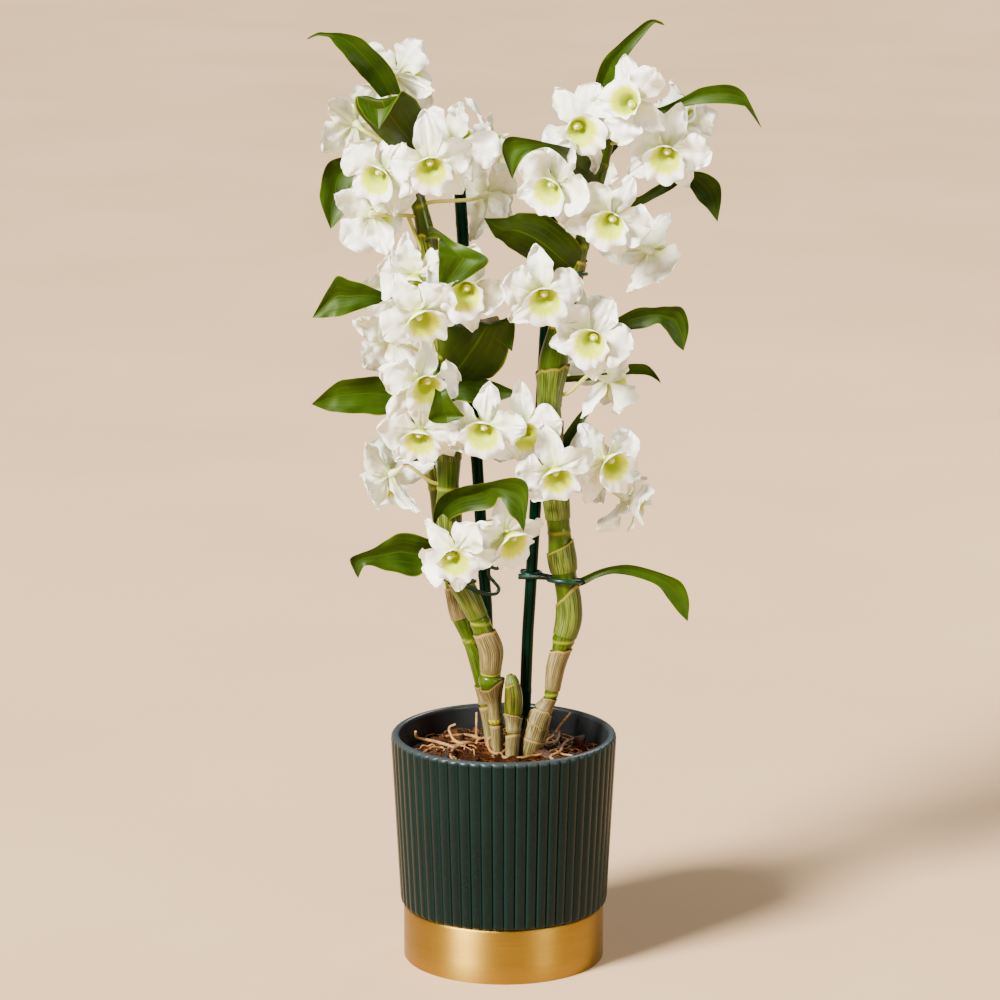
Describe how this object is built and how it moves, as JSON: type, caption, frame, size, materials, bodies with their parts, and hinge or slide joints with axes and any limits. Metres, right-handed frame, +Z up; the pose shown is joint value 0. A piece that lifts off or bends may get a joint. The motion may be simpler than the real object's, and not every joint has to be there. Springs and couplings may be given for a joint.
{
  "type": "potted dendrobium orchid",
  "caption": "White flowering orchid on canes tied to thin stakes, rooted in bark inside a ribbed dark glazed cover pot with a gold foot band.",
  "frame": {"origin": "centre of the pot's flat underside", "axes": "+Z up along the pot's axis, -Y towards the front that most blooms face, +X to the right seen from the front"},
  "size_m": [0.272, 0.14, 0.5851],
  "materials": {
    "glaze": "gloss glaze, dark green-grey",
    "gold": "satin, brushed round the pot",
    "plastic": "clear, thin",
    "bark": "damp bark chips",
    "root": "dull, papery",
    "cane": "satin leaf green with papery tan sheaths",
    "shoot": "satin pale green with papery tan sheaths",
    "stake": "gloss dark green",
    "clip": "satin dark green",
    "petal": "soft velvety white with a yellow-green throat"
  },
  "bodies": {
    "root": {"pot_body": "glaze", "base_band": "gold", "nursery_pot": "plastic", "bark_mix": "bark", "root_mass": "root", "cane_left": "cane", "cane_left_back": "cane", "cane_right": "cane", "cane_short": "shoot", "stake_left": "stake", "stake_right": "stake", "clip_left": "clip", "clip_right": "clip", "clip_upper": "clip", "spray_left_tip": "petal", "spray_left_crown": "petal", "spray_left_high": "petal", "spray_left_shoulder": "petal", "spray_left_inner": "petal", "spray_left_heart": "petal", "spray_left_waist": "petal", "spray_left_low": "petal", "spray_left_hip": "petal", "spray_left_foot": "petal", "spray_right_crown": "petal", "spray_right_high": "petal", "spray_right_inner": "petal", "spray_right_shoulder": "petal", "spray_right_heart": "petal", "spray_right_waist": "petal", "spray_right_low": "petal", "spray_right_hip": "petal", "spray_back_left_crown": "petal", "spray_back_left_heart": "petal", "spray_back_left_hip": "petal", "spray_back_right_crown": "petal", "spray_back_right_waist": "petal", "spray_back_right_low": "petal"}
  },
  "joints": []
}
